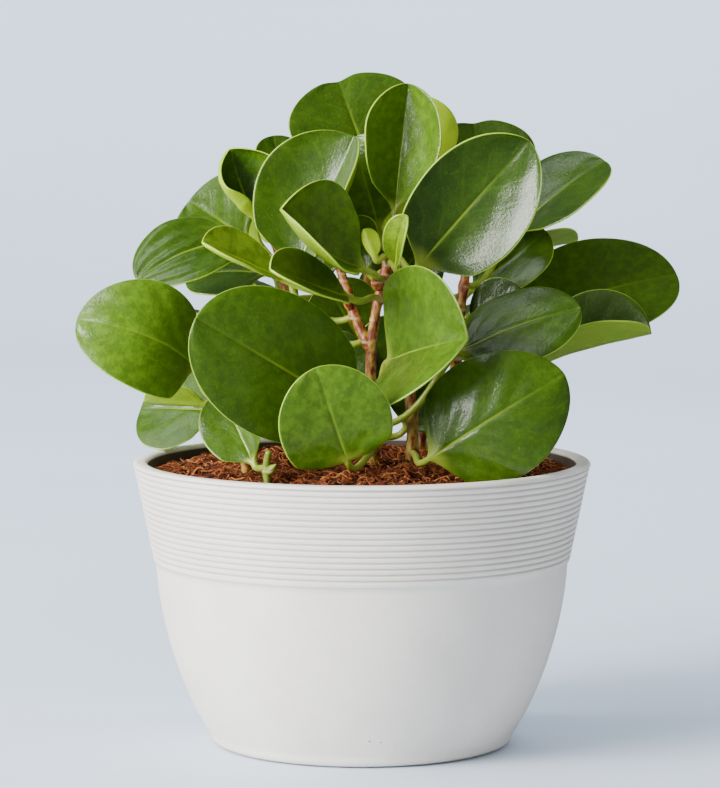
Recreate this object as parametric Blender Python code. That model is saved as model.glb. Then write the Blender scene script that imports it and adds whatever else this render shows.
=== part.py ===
"""Potted baby rubber plant: thick spoon-shaped leaves on short stems, in a ribbed bowl pot.

The origin is the centre of the pot's flat base, +Z is up and -Y is the plant's front.
Sizes and places are written in millimetres and become metres where a mesh is made.
"""
import math

import bmesh
import bpy
from mathutils import Vector

MM = 0.001
TOUCH_GAP = 0.35            # between pieces that touch on the real plant

# Pot
POT_HEIGHT = 124.0
RIM_RADIUS = 100.0
LIP_WIDTH = 6.4
LIP_ROUNDING = 1.6
BAND_TAPER = 0.207          # how far the ribbed band narrows for each millimetre down
GROOVE_COUNT = 16
GROOVE_PITCH = 2.57
FIRST_GROOVE_DOWN = 2.2     # below the lip
GROOVE_DEPTH = 0.8
GROOVE_HALF_WIDTH = 0.5
BAND_STEP = 0.8             # the smooth body is set back by this much under the band
BODY_TOP = 80.3
BASE_RADIUS = 62.5
BASE_ROUNDING = 4.0
BODY_CURVE = ((89.2, 54.0), (78.8, 22.0))   # radius and height of the points that draw the body's curve
WALL = 5.0
FLOOR = 6.0
POT_SEGMENTS = 36
INNER_ROUNDING = 9.0        # inside, where the wall meets the floor

# Soil, filling the pot up to a low mound
SOIL_EDGE_DOWN = 6.0        # below the lip
SOIL_MOUND = 5.0            # rise from the edge to the middle
SOIL_LUMP = 0.9
SOIL_SEGMENTS = 36

# Stems, as a smooth path through these points; the foot stands in a hole in the soil
STEM_SIDES = 8
HOLE_SIDES = 14
HOLE_BOTTOM = 103.0
NODE_SWELLING = 0.5
STEMS = {
    # name: (radius at the foot, radius at the top, points)
    "centre": (2.9, 1.8, [(5, -12, 104), (5, -12, 128), (4, -16, 150), (4, -18, 172),
                          (6, -19, 190), (10, -18, 206), (13, -16, 217), (14, -14, 229)]),
    "left": (2.5, 1.8, [(-50, -26, 104), (-50, -26, 126), (-54, -28, 136), (-59, -30, 148),
                        (-62, -32, 160), (-63, -32, 172)]),
    "front_right": (3.0, 2.0, [(22, -9, 104), (22, -9, 128), (22, -9, 142), (21, -7, 156),
                               (24, -1, 172), (26, 4, 186)]),
    "back_right": (2.8, 1.8, [(38, 26, 104), (38, 26, 128), (40, 20, 150), (42, 12, 172),
                              (43, 8, 188), (45, 8, 202), (47, 12, 216), (49, 16, 230)]),
    "back_left": (2.8, 1.8, [(-30, 24, 104), (-30, 24, 128), (-31, 20, 150), (-32, 15, 172),
                             (-33, 14, 192), (-36, 16, 210), (-40, 18, 228)]),
    "back_centre": (2.8, 1.8, [(3, 36, 104), (3, 36, 128), (3, 35, 160), (3, 34, 195),
                               (2, 34, 222), (1, 35, 244)]),
    "rear_left": (2.8, 1.8, [(-26, 56, 104), (-26, 56, 128), (-28, 58, 152), (-30, 59, 178),
                             (-31, 58, 202), (-31, 56, 224)]),
    "rear_right": (2.8, 1.8, [(27, 58, 104), (27, 58, 128), (29, 60, 152), (31, 60, 180),
                              (32, 58, 204), (33, 56, 226)]),
    "sprout": (2.0, 1.4, [(-40, -61, 106), (-40, -61, 125), (-40, -62, 130), (-39, -64, 135)]),
}
# A side shoot grows out of a stem and is one piece with it
SHOOTS = {
    "side_shoot": ("centre", 2.4, 1.8, [(4, -18, 174), (0, -16, 181), (-4, -13, 190), (-7, -9, 200),
                                        (-10, -5, 210), (-12, -1, 220)]),
}
# Small furled buds: stem or shoot, height, direction, length, width
BUDS = [
    ("centre", 200, (-0.5, -0.8, 0.5), 9, 5),
    ("sprout", 125, (0.6, -0.7, 0.5), 7, 4),
    ("side_shoot", 190, (-0.6, -0.5, 0.9), 8, 4),
    ("left", 150, (0.5, -0.7, 0.8), 7, 4),
]

# Leaves: fold and cup lift the two halves of a blade, in degrees at the midrib and more towards the
# margin, arch bows the midrib up, and a low shoulder makes the blade full next to its stalk
PETIOLE_RADIUS = 1.5
STALK_BEND = 9.0            # length over which a stalk turns into its blade
BLADE_THICKNESS = 1.6
MARGIN_SHARE = 0.8          # thickness of the margin against the middle of the blade
TIP_SHARE = 0.1             # half width left at the rounded tip
BLADE_OPENS = 0.22          # share of the blade over which the round stalk flattens out
FULL_SHOULDER = 0.6         # a blade with a lower shoulder than this has lobes
LOBE = 30.0                 # how far back past the stalk they reach
LEAVES = [
    # name, stem, height on it, foot of the blade, tip of the blade, way its upper face looks,
    # width, fold, cup, arch, shoulder
    ("front_left", "centre", 136, (1, -42, 146), (-69, -76, 192), (-0.2, -1, 0.35), 61, 0, -8, 4, 0.6),
    ("front_round", "centre", 130, (-6, -71, 131), (-19, -86, 172), (0, -1, 0.25), 48, 2, 8, 2, 0.4),
    ("front_right", "front_right", 128, (28, -54, 130), (85, -60, 167), (0.2, -1, 0.3), 56, -4, -18, 9, 0.45),
    ("centre_folded", "centre", 158, (11, -27, 169), (44, -75, 183), (-0.78, -0.5, 0.38), 68, 22, 8, 2, 0.5),
    ("centre_left", "centre", 204, (3, -29, 208), (-34, -55, 236), (0.7, -0.48, 0.5), 58, 26, 22, -5, 0.7),
    ("centre_low", "centre", 196, (-4, -42, 200), (-38, -78, 216), (-0.1, -0.3, 0.95), 38, 14, 20, 0, 0.7),
    ("crown_left", "side_shoot", 188, (-30, -1, 203), (-3, 3, 265), (-0.6, -0.75, 0.28), 66, 22, 36, 0, 0.6),
    ("crown_centre", "centre", 221, (14, -7, 231), (20, -3, 288), (0, -1, 0.05), 48, 34, 24, -2, 0.75),
    ("crown_right", "centre", 214, (25, -30, 213), (68, -38, 264), (-0.1, -0.95, 0.1), 62, 6, 20, -3, 0.5),
    ("upper_right", "back_right", 200, (65, 24, 220), (108, 34, 253), (-0.35, -0.5, 0.8), 48, 6, 8, 2, 0.7),
    ("upper_back", "back_right", 218, (56, 40, 232), (50, 56, 271), (0.1, -0.9, 0.4), 52, 6, 10, -2, 0.7),
    ("crown_behind", "back_centre", 228, (20, 12, 245), (26, 10, 283), (0.2, 0.9, 0.4), 38, 10, 12, 0, 0.7),
    ("top", "back_centre", 236, (4, 33, 250), (-11, 44, 290), (-0.1, -0.9, 0.4), 60, 6, 8, 0, 0.6),
    ("crown_inner", "centre", 217, (8, 6, 224), (-5, 18, 260), (-0.45, -0.7, 0.6), 44, 8, 12, 0, 0.7),
    ("young_right", "centre", 211, (14, -28, 210), (19, -38, 233), (-0.6, -0.8, 0.2), 15, 18, 30, 2, 0.75),
    ("young_left", "centre", 213, (9, -22, 213), (4, -20, 226), (0.3, 0.8, 0.3), 10, 20, 30, 0, 0.75),
    ("left_ridged", "back_left", 206, (-46, 0, 221), (-97, -14, 203), (-0.25, -0.7, 0.7), 40, 4, 6, 5, 0.5),
    ("left_under", "back_left", 186, (-41, 22, 204), (-78, 26, 202), (-0.1, -0.6, 0.8), 36, 4, 8, 2, 0.7),
    ("left_rimmed", "side_shoot", 198, (-34, -18, 204), (-68, -34, 221), (0.1, -0.3, 1), 28, 16, 20, 0, 0.75),
    ("left_upper", "back_left", 212, (-50, 30, 218), (-77, 38, 235), (-0.35, -0.7, 0.6), 46, 4, 8, 2, 0.7),
    ("left_cup", "back_left", 220, (-46, 14, 226), (-58, 10, 258), (0.75, -0.5, 0.3), 54, 22, 36, -9, 0.7),
    ("left_back", "back_left", 218, (-34, 38, 244), (-40, 46, 265), (-0.2, -0.8, 0.4), 26, 6, 8, 0, 0.7),
    ("left_bright", "left", 156, (-71, -37, 166), (-120, -54, 186), (-0.25, -0.85, 0.5), 54, 0, 6, 14, 0.5),
    ("left_low", "back_left", 140, (-64, 44, 140), (-100, 58, 140), (-0.2, -0.7, 0.65), 48, 2, 6, 2, 0.65),
    ("left_turned", "left", 142, (-67, -4, 149), (-95, -2, 150), (0.1, 0.5, 0.85), 22, 16, 10, 0, 0.75),
    ("sprout_folded", "sprout", 127, (-45, -60, 128), (-60, -42, 158), (-0.4, -0.9, 0.1), 32, 24, 10, 0, 0.6),
    ("right_folded", "back_right", 152, (78, 14, 165), (127, 8, 179), (0, -0.47, 0.88), 50, 32, 16, 2, 0.6),
    ("right_large", "back_right", 176, (62, 30, 181), (141, 46, 202), (-0.1, -0.8, 0.6), 54, 4, 8, 4, 0.55),
    ("right_drooping", "centre", 140, (41, -20, 172), (94, -24, 192), (-0.1, -0.7, 0.7), 42, 0, -6, 3, 0.5),
    ("right_inner", "back_right", 190, (48, 24, 196), (82, 30, 222), (-0.3, -0.8, 0.5), 34, 4, 6, 0, 0.7),
    ("right_low", "back_right", 138, (63, 46, 146), (86, 60, 161), (-0.2, -0.8, 0.5), 30, 4, 6, 2, 0.7),
    ("rear_left_low", "rear_left", 138, (-44, 72, 148), (-82, 96, 158), (-0.4, 0.6, 0.7), 54, 4, 8, 4, 0.65),
    ("rear_left_side", "rear_left", 158, (-52, 56, 168), (-98, 62, 184), (-0.3, 0.1, 0.9), 48, 6, 10, 4, 0.6),
    ("rear_left_mid", "rear_left", 176, (-40, 76, 184), (-70, 104, 202), (-0.3, 0.6, 0.8), 50, 6, 10, 4, 0.6),
    ("rear_left_high", "rear_left", 204, (-44, 66, 212), (-72, 82, 234), (-0.4, 0.5, 0.8), 46, 8, 12, 2, 0.7),
    ("rear_left_top", "rear_left", 216, (-27, 68, 228), (-24, 80, 262), (0, 0.9, 0.4), 44, 8, 14, 2, 0.7),
    ("rear_right_low", "rear_right", 138, (46, 74, 148), (86, 96, 158), (0.4, 0.6, 0.7), 54, 4, 8, 4, 0.6),
    ("rear_right_mid", "rear_right", 168, (46, 76, 178), (80, 102, 194), (0.4, 0.6, 0.8), 52, 6, 8, 4, 0.6),
    ("rear_right_side", "rear_right", 190, (54, 62, 198), (98, 72, 216), (0.2, 0.2, 0.9), 50, 8, 10, 4, 0.65),
    ("rear_right_high", "rear_right", 212, (42, 66, 222), (64, 78, 254), (0.3, 0.7, 0.6), 46, 8, 12, 2, 0.7),
    ("rear_low", "rear_right", 144, (6, 80, 152), (2, 116, 156), (0, 0.4, 0.9), 54, 6, 8, 4, 0.6),
    ("rear_mid_left", "rear_left", 190, (-16, 78, 196), (-14, 108, 220), (0, 0.7, 0.65), 50, 6, 10, 4, 0.65),
    ("rear_mid_right", "rear_right", 182, (20, 82, 186), (26, 112, 206), (0.1, 0.7, 0.6), 48, 6, 10, 4, 0.6),
    ("rear_crown", "back_centre", 210, (3, 52, 220), (6, 74, 252), (0, 0.8, 0.5), 50, 8, 12, 2, 0.65),
    ("rear_top", "back_centre", 236, (6, 46, 246), (14, 56, 280), (0.2, 0.9, 0.3), 44, 8, 12, 2, 0.7),
]
YOUNG_LEAVES = {"young_right", "young_left", "left_cup", "crown_behind", "left_rimmed"}

# Rings of points along a leaf: two on the stalk, then these shares of the blade's length
STALK_RINGS = (0.0, 0.5)
BLADE_RINGS = (0.0, 0.12, 0.3, 0.5, 0.7, 0.86, 0.96, 1.0)
ACROSS = (-1.0, -0.5, 0.0, 0.5, 1.0)


def clear_scene():
    for thing in list(bpy.data.objects):
        bpy.data.objects.remove(thing, do_unlink=True)


def finish_material(name, colour, roughness):
    material = bpy.data.materials.new(name)
    material.use_nodes = True
    shader = material.node_tree.nodes["Principled BSDF"]
    shader.inputs["Base Color"].default_value = (*colour, 1.0)
    shader.inputs["Roughness"].default_value = roughness
    shader.inputs["Metallic"].default_value = 0.0
    return material


def add_object(name, bm, material):
    """Scales the millimetre mesh to metres and puts it in the scene as one named object."""
    bmesh.ops.scale(bm, vec=(MM, MM, MM), verts=bm.verts)
    bmesh.ops.recalc_face_normals(bm, faces=bm.faces)
    mesh = bpy.data.meshes.new(name)
    bm.to_mesh(mesh)
    bm.free()
    mesh.materials.append(material)
    mesh.shade_smooth()
    mesh.set_sharp_from_angle(angle=math.radians(40))
    piece = bpy.data.objects.new(name, mesh)
    bpy.context.scene.collection.objects.link(piece)
    return piece


def combine(target, others, operation):
    """Joins the other objects to the target, or cuts them out of it, and removes them."""
    group = bpy.data.collections.new(target.name + "_operands")
    bpy.context.scene.collection.children.link(group)
    for other in others:
        bpy.context.scene.collection.objects.unlink(other)
        group.objects.link(other)
    boolean = target.modifiers.new("combine", "BOOLEAN")
    boolean.operation = operation
    boolean.solver = "EXACT"
    boolean.operand_type = "COLLECTION"
    boolean.collection = group
    graph = bpy.context.evaluated_depsgraph_get()
    joined = bpy.data.meshes.new_from_object(target.evaluated_get(graph))
    target.modifiers.clear()
    target.data = joined
    for other in others:
        bpy.data.objects.remove(other, do_unlink=True)
    bpy.data.collections.remove(group)


def lathe(outline, segments):
    """Turns an outline of (radius, height) points round the Z axis."""
    bm = bmesh.new()
    points = [bm.verts.new((radius, 0.0, height)) for radius, height in outline]
    edges = [bm.edges.new(pair) for pair in zip(points, points[1:])]
    bmesh.ops.spin(bm, geom=points + edges, cent=(0, 0, 0), axis=(0, 0, 1), dvec=(0, 0, 0),
                   angle=math.tau, steps=segments, use_merge=True, use_duplicate=False)
    bmesh.ops.remove_doubles(bm, verts=bm.verts, dist=0.01)
    return bm


def bezier(a, b, c, d, t):
    """Point at t on the cubic curve from a to d, drawn towards b and c."""
    s = 1.0 - t
    return a * s**3 + b * 3 * s * s * t + c * 3 * s * t * t + d * t**3


def smooth_path(points, steps=6):
    """A dense smooth path through the points."""
    knots = [Vector(p) for p in points]
    knots = [knots[0] * 2 - knots[1]] + knots + [knots[-1] * 2 - knots[-2]]
    path = []
    for before, start, end, after in zip(knots, knots[1:], knots[2:], knots[3:]):
        for step in range(steps):
            leaving = start + (end - before) / 6
            arriving = end - (after - start) / 6
            path.append(bezier(start, leaving, arriving, end, step / steps))
    path.append(knots[-2])
    return path


def at_height(path, height):
    """Place and direction of a rising path at a height."""
    for low, high in zip(path, path[1:]):
        if low.z <= height <= high.z:
            return low.lerp(high, (height - low.z) / (high.z - low.z)), (high - low).normalized()
    return path[-1].copy(), (path[-1] - path[-2]).normalized()


# Pot

def body_radius(height):
    """Outer radius of the smooth body under the band."""
    top = Vector((band_radius(BODY_TOP) - BAND_STEP, BODY_TOP))
    foot = Vector((BASE_RADIUS + BASE_ROUNDING, BASE_ROUNDING))
    upper, lower = Vector(BODY_CURVE[0]), Vector(BODY_CURVE[1])
    low, high = 0.0, 1.0
    for _ in range(30):
        t = (low + high) / 2
        if bezier(top, upper, lower, foot, t).y > height:
            low = t
        else:
            high = t
    return bezier(top, upper, lower, foot, low).x


def band_radius(height):
    return RIM_RADIUS - BAND_TAPER * (POT_HEIGHT - height)


def inner_radius(height):
    """Radius of the pot's inside, a wall thickness in from its outside."""
    if height >= BODY_TOP:
        share = (height - BODY_TOP) / (POT_HEIGHT - BODY_TOP)
        return (1 - share) * (body_radius(BODY_TOP) - WALL) + share * (RIM_RADIUS - LIP_WIDTH)
    return body_radius(height) - WALL


def pot_outline():
    """From the middle of the base, up the outside, over the lip and down the inside."""
    outline = [(0.0, 0.0), (BASE_RADIUS, 0.0)]
    for angle in (30, 60):
        turn = math.radians(angle)
        outline.append((BASE_RADIUS + BASE_ROUNDING * math.sin(turn), BASE_ROUNDING * (1 - math.cos(turn))))
    outline += [(body_radius(height), height) for height in (5, 14, 26, 40, 55, 69, BODY_TOP)]
    outline.append((band_radius(BODY_TOP + BAND_STEP), BODY_TOP + BAND_STEP))
    for groove in reversed(range(GROOVE_COUNT)):
        middle = POT_HEIGHT - FIRST_GROOVE_DOWN - GROOVE_PITCH * groove
        for offset, depth in ((-GROOVE_HALF_WIDTH, 0), (0, GROOVE_DEPTH), (GROOVE_HALF_WIDTH, 0)):
            outline.append((band_radius(middle + offset) - depth, middle + offset))
    outline.append((RIM_RADIUS - LIP_ROUNDING * 0.3, POT_HEIGHT - LIP_ROUNDING * 0.3))
    outline.append((RIM_RADIUS - LIP_ROUNDING, POT_HEIGHT))
    outline.append((RIM_RADIUS - LIP_WIDTH + LIP_ROUNDING, POT_HEIGHT))
    outline.append((RIM_RADIUS - LIP_WIDTH, POT_HEIGHT - LIP_ROUNDING))
    outline += [(inner_radius(height), height) for height in (100, BODY_TOP, 55, 34, 18)]
    outline += floor_corner(0.0)
    outline.append((0.0, FLOOR))
    return outline


def floor_corner(clearance):
    """The two points of the chamfer between the inside wall and the floor, and of the soil next to it."""
    wall = inner_radius(FLOOR * 2) - clearance
    return [(wall - INNER_ROUNDING / 3, FLOOR + 2 + clearance), (wall - INNER_ROUNDING, FLOOR + clearance)]


def build_pot():
    paint = finish_material("matt_white_pot", (0.78, 0.76, 0.73), 0.62)
    return add_object("pot", lathe(pot_outline(), POT_SEGMENTS), paint)


# Soil

def soil_height(x, y):
    """Height of the mounded surface, with low lumps that fade out at the pot's wall."""
    radius = math.hypot(x, y)
    share = min(1.0, radius / inner_radius(POT_HEIGHT - SOIL_EDGE_DOWN))
    lumps = math.sin(x / 7.3 + 1.1) * math.cos(y / 8.9) + 0.6 * math.sin((x + 2 * y) / 11.7)
    return (POT_HEIGHT - SOIL_EDGE_DOWN + SOIL_MOUND * (1 - share**2)
            + SOIL_LUMP * lumps * min(1.0, 6 * (1 - share)))


def build_soil():
    """The potting soil as one body, flat lumps on top and a plain hole for each stem."""
    edge = POT_HEIGHT - SOIL_EDGE_DOWN
    outline = [(0.0, FLOOR + TOUCH_GAP)]
    outline += reversed(floor_corner(TOUCH_GAP))
    outline += [(inner_radius(height) - TOUCH_GAP, height) for height in (18, 34, 55, BODY_TOP, 100, edge)]
    outline += [(radius, edge) for radius in (84, 68, 50, 32, 14, 0.0)]
    bm = lathe(outline, SOIL_SEGMENTS)
    for vertex in bm.verts:
        if vertex.co.z > edge - 0.01:
            vertex.co.z = soil_height(vertex.co.x, vertex.co.y)
    soil = add_object("soil", bm, finish_material("soil_and_moss", (0.16, 0.06, 0.025), 0.95))
    holes = [stem_hole(name) for name in STEMS]
    combine(soil, holes, "DIFFERENCE")
    return soil


def stem_hole(name):
    foot_radius, _, points = STEMS[name]
    x, y, _ = points[0]
    radius = (foot_radius + TOUCH_GAP) / math.cos(math.pi / HOLE_SIDES)
    top = POT_HEIGHT + 12
    bm = bmesh.new()
    bmesh.ops.create_cone(bm, cap_ends=True, segments=HOLE_SIDES, radius1=radius, radius2=radius,
                          depth=top - HOLE_BOTTOM)
    bmesh.ops.translate(bm, verts=bm.verts, vec=(x, y, (top + HOLE_BOTTOM) / 2))
    return add_object("hole_" + name, bm, bpy.data.materials["soil_and_moss"])


# Stems

def loft(bm, rings):
    """Skins rings of points, splitting each cell alike on the two faces of a blade, and caps the ends."""
    rows = [[bm.verts.new(point) for point in ring] for ring in rings]
    sides = len(rows[0])
    for row, following in zip(rows, rows[1:]):
        for i in range(sides):
            k = (i + 1) % sides
            leans_left = i < sides // 4 or sides // 2 <= i < 3 * sides // 4
            if leans_left:
                bm.faces.new((row[i], row[k], following[k]))
                bm.faces.new((row[i], following[k], following[i]))
            else:
                bm.faces.new((row[i], row[k], following[i]))
                bm.faces.new((row[k], following[k], following[i]))
    bm.faces.new(rows[0])
    bm.faces.new(rows[-1])


def tube_rings(path, stations, sides):
    """Rings of a round tube, for stations of (height, radius)."""
    rings = []
    for height, radius in stations:
        centre, direction = at_height(path, height)
        across = Vector((1, 0, 0)) - direction * direction.x
        across.normalize()
        other = direction.cross(across)
        ring = []
        for side in range(sides):
            angle = math.tau * side / sides
            ring.append(centre + (across * math.cos(angle) + other * math.sin(angle)) * radius)
        rings.append(ring)
    return rings


def leaf_heights(stem):
    return sorted(row[2] for row in LEAVES if row[1] == stem)


def stem_radius(foot_radius, top_radius, path, height, nodes):
    """Tapers from foot to top, with a low swelling where each leaf grows."""
    share = (height - path[0].z) / (path[-1].z - path[0].z)
    radius = foot_radius + (top_radius - foot_radius) * share
    if any(abs(height - node) < 0.5 for node in nodes):
        radius += NODE_SWELLING
    return radius


def stem_body(name, foot_radius, top_radius, points, material):
    path = smooth_path(points)
    nodes = leaf_heights(name)
    heights = {path[0].z, path[-1].z - 7, path[-1].z - 2.5}
    heights.update(points[i][2] for i in range(1, len(points) - 1))
    heights = [h for h in heights if all(abs(h - node) > 4.5 for node in nodes)]
    apart = sorted(h for h in heights + nodes if h < path[-1].z - 1)
    stations = [(h, stem_radius(foot_radius, top_radius, path, h, nodes)) for h in apart]
    stations.append((path[-1].z, 0.7))
    bm = bmesh.new()
    loft(bm, tube_rings(path, stations, STEM_SIDES))
    return add_object("stem_" + name, bm, material)


def bud_body(index, material):
    """A furled bud: a slim drop that stands out of its stem."""
    host, height, towards, length, width = BUDS[index]
    path = smooth_path(paths_of_stems()[host])
    start, _ = at_height(path, height)
    direction = Vector(towards).normalized()
    across = direction.cross(Vector((0, 0, 1))).normalized()
    other = direction.cross(across)
    rings = []
    for share, fullness in ((0.0, 0.5), (0.3, 0.85), (0.6, 1.0), (0.85, 0.6), (1.0, 0.15)):
        centre = start + direction * (length * share)
        ring = []
        for side in range(6):
            angle = math.tau * side / 6
            offset = across * math.cos(angle) + other * (0.6 * math.sin(angle))
            ring.append(centre + offset * (width / 2 * fullness))
        rings.append(ring)
    bm = bmesh.new()
    loft(bm, rings)
    return add_object("bud_%d" % index, bm, material)


def paths_of_stems():
    """Points of every stem and side shoot, by name."""
    points = {name: row[2] for name, row in STEMS.items()}
    points.update({name: row[3] for name, row in SHOOTS.items()})
    return points


def build_stems():
    bark = finish_material("stem_skin", (0.26, 0.09, 0.045), 0.55)
    for name, (foot_radius, top_radius, points) in STEMS.items():
        stem = stem_body(name, foot_radius, top_radius, points, bark)
        grown = [stem_body(shoot, row[1], row[2], row[3], bark)
                 for shoot, row in SHOOTS.items() if row[0] == name]
        own = {name} | {shoot for shoot, row in SHOOTS.items() if row[0] == name}
        grown += [bud_body(index, bark) for index, bud in enumerate(BUDS) if bud[0] in own]
        if grown:
            combine(stem, grown, "UNION")


# Leaves

def blade_share(v, shoulder):
    """Half width at share v of the blade, against its widest: a low shoulder is full next to the stalk."""
    peak = shoulder / (shoulder + 0.5)
    if v >= 1.0:
        return TIP_SHARE
    return max((v / peak) ** shoulder * ((1 - v) / (1 - peak)) ** 0.5, TIP_SHARE)


def section(u, upper, v, width, fold, cup, shoulder):
    """One point of a leaf's cross-section: round on the stalk, opening into a folded, cupped blade."""
    turn = math.radians(90 - 72 * u) * (1 if upper else -1)
    round_point = Vector((math.cos(turn), math.sin(turn))) * PETIOLE_RADIUS
    half = max(PETIOLE_RADIUS, width / 2 * blade_share(v, shoulder)) if v > 0 else PETIOLE_RADIUS
    side = 1 if u >= 0 else -1
    lean = math.radians(fold + cup * abs(u) / 2)
    slope = math.radians(fold + cup * abs(u)) if u else 0.0
    thickness = BLADE_THICKNESS / 2 * (MARGIN_SHARE if abs(u) == 1 else 1) * (1 if upper else -1)
    flat_point = Vector((half * abs(u) * math.cos(lean) * side - side * math.sin(slope) * thickness,
                         half * abs(u) * math.sin(lean) + math.cos(slope) * thickness))
    opened = min(1.0, v / BLADE_OPENS)
    opened = opened * opened * (3 - 2 * opened)
    return round_point.lerp(flat_point, opened)


def leaf_ring(centre, side, normal, v, shape):
    """Points round a leaf at share v of its blade, whose lobes reach back past the stalk."""
    ahead = normal.cross(side)
    ring = []
    for upper in (True, False):
        for u in (ACROSS if upper else reversed(ACROSS)):
            across, out = section(u, upper, v, *shape)
            lobe = LOBE * max(0.0, FULL_SHOULDER - shape[-1]) * u * u * (1 - v) ** 3
            lobe *= min(1.0, v / BLADE_RINGS[1])
            ring.append(centre + side * across + normal * out - ahead * lobe)
    return ring


def stem_surface(stem, height, towards):
    """Where a leaf stalk starts on its stem, and the way it leaves it."""
    rows = dict(STEMS)
    rows.update({name: row[1:] for name, row in SHOOTS.items()})
    foot_radius, top_radius, points = rows[stem]
    path = smooth_path(points)
    centre, direction = at_height(path, height)
    out = towards - centre
    out = (out - direction * out.dot(direction)).normalized()
    radius = stem_radius(foot_radius, top_radius, path, height, [height])
    return centre + out * (radius + TOUCH_GAP), out


def leaf_body(row, material):
    name, stem, height, foot, tip, faces, width, fold, cup, arch, shoulder = row
    shape = (width, fold, cup, shoulder)
    foot = Vector(foot)
    tip = Vector(tip)
    length = (tip - foot).length
    along = (tip - foot) / length
    normal = (Vector(faces) - along * along.dot(Vector(faces))).normalized()
    side = along.cross(normal)
    start, out = stem_surface(stem, height, foot)
    leaving = (along * length + normal * (4 * arch)).normalized()
    reach = (foot - start).length * 0.4
    handles = (start, start + out * reach, foot - leaving * min(reach, STALK_BEND), foot)
    first_side = side - out * out.dot(side)
    rings = []
    for share in STALK_RINGS:
        centre = bezier(*handles, share)
        ahead = (bezier(*handles, share + 0.02) - centre).normalized() if share else out
        turned = first_side.normalized().lerp(side, share)
        turned = (turned - ahead * ahead.dot(turned)).normalized()
        rings.append(leaf_ring(centre, turned, turned.cross(ahead), 0.0, shape))
    for v in BLADE_RINGS:
        centre = foot + along * (length * v) + normal * (arch * 4 * v * (1 - v))
        ahead = (along * length + normal * (arch * 4 * (1 - 2 * v))).normalized()
        rings.append(leaf_ring(centre, side, side.cross(ahead), v, shape))
    bm = bmesh.new()
    loft(bm, rings)
    return add_object("leaf_" + name, bm, material)


def build_leaves():
    grown = finish_material("leaf_green", (0.045, 0.13, 0.018), 0.3)
    young = finish_material("leaf_young_green", (0.25, 0.42, 0.05), 0.35)
    for row in LEAVES:
        leaf_body(row, young if row[0] in YOUNG_LEAVES else grown)


clear_scene()
build_pot()
build_soil()
build_stems()
build_leaves()
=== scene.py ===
"""A potted baby rubber plant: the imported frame, dressed with its living surfaces.

The script follows the plant as it is put together: the pot, the soil and coir, the stems,
and then the leaves one by one. Sizes are in metres, or in millimetres times MM.
"""
import math
import random

import bpy
import numpy as np
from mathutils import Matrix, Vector, noise


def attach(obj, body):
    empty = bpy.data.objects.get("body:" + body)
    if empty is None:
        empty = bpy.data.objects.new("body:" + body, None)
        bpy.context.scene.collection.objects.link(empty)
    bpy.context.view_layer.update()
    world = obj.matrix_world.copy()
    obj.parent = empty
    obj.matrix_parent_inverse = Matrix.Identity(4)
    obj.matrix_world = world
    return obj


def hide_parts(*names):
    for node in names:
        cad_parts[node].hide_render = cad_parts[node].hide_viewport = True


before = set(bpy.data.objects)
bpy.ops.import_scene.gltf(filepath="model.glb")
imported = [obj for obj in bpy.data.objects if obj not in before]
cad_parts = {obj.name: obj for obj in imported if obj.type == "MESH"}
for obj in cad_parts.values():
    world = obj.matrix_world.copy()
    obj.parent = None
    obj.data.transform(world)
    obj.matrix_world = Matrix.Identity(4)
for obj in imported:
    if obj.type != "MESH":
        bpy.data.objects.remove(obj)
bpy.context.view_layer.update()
MM = 0.001


# Camera: the plant is seen from the front and a little above, through a long lens, so the
# pot's rim shows as a shallow ellipse with the soil inside it.
bpy.ops.object.select_all(action="DESELECT")
bpy.ops.object.camera_add(location=(-0.0008, -1.6, 0.306), rotation=(math.pi / 2 - 0.0955, 0, 0))
camera = bpy.context.object
camera.name = "photo_camera"
camera.data.sensor_width = 36
camera.data.lens = 168.1
bpy.context.scene.camera = camera


# Pot: a cast stoneware bowl with a matt, warm white coat. The smooth body carries a band of
# fine turned grooves under a softly rounded lip, and the inside below the lip is coloured a dark taupe.
POT_HEIGHT = 124.0
RIM_RADIUS = 100.0
LIP_WIDTH = 6.4
LIP_ROUNDING = 1.9
BAND_TAPER = 0.207          # how far the grooved band narrows for each millimetre down
GROOVE_COUNT = 16
GROOVE_PITCH = 2.57
FIRST_GROOVE_DOWN = 2.2
GROOVE_DEPTH = 0.8
BAND_FOOT = 81.1            # height at which the band starts, over the smooth body
BODY_TOP = 80.3
BASE_RADIUS = 62.5
BASE_ROUNDING = 4.0
POT_WALL = 5.0
POT_FLOOR = 6.0
POT_TURNS = 180


def curve_point(a, b, c, d, t):
    """Point at t on the smooth curve from a to d, drawn towards b and c."""
    s = 1.0 - t
    return a * s**3 + b * (3 * s * s * t) + c * (3 * s * t * t) + d * t**3


def band_radius(height):
    return RIM_RADIUS - BAND_TAPER * (POT_HEIGHT - height)


def body_points(count):
    """Radius and height down the smooth body, from under the band to the base."""
    top = Vector((band_radius(BODY_TOP) - 0.8, BODY_TOP))
    foot = Vector((BASE_RADIUS + BASE_ROUNDING, BASE_ROUNDING))
    upper, lower = Vector((89.2, 54.0)), Vector((78.8, 22.0))
    return [curve_point(top, upper, lower, foot, step / count) for step in range(count + 1)]


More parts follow.
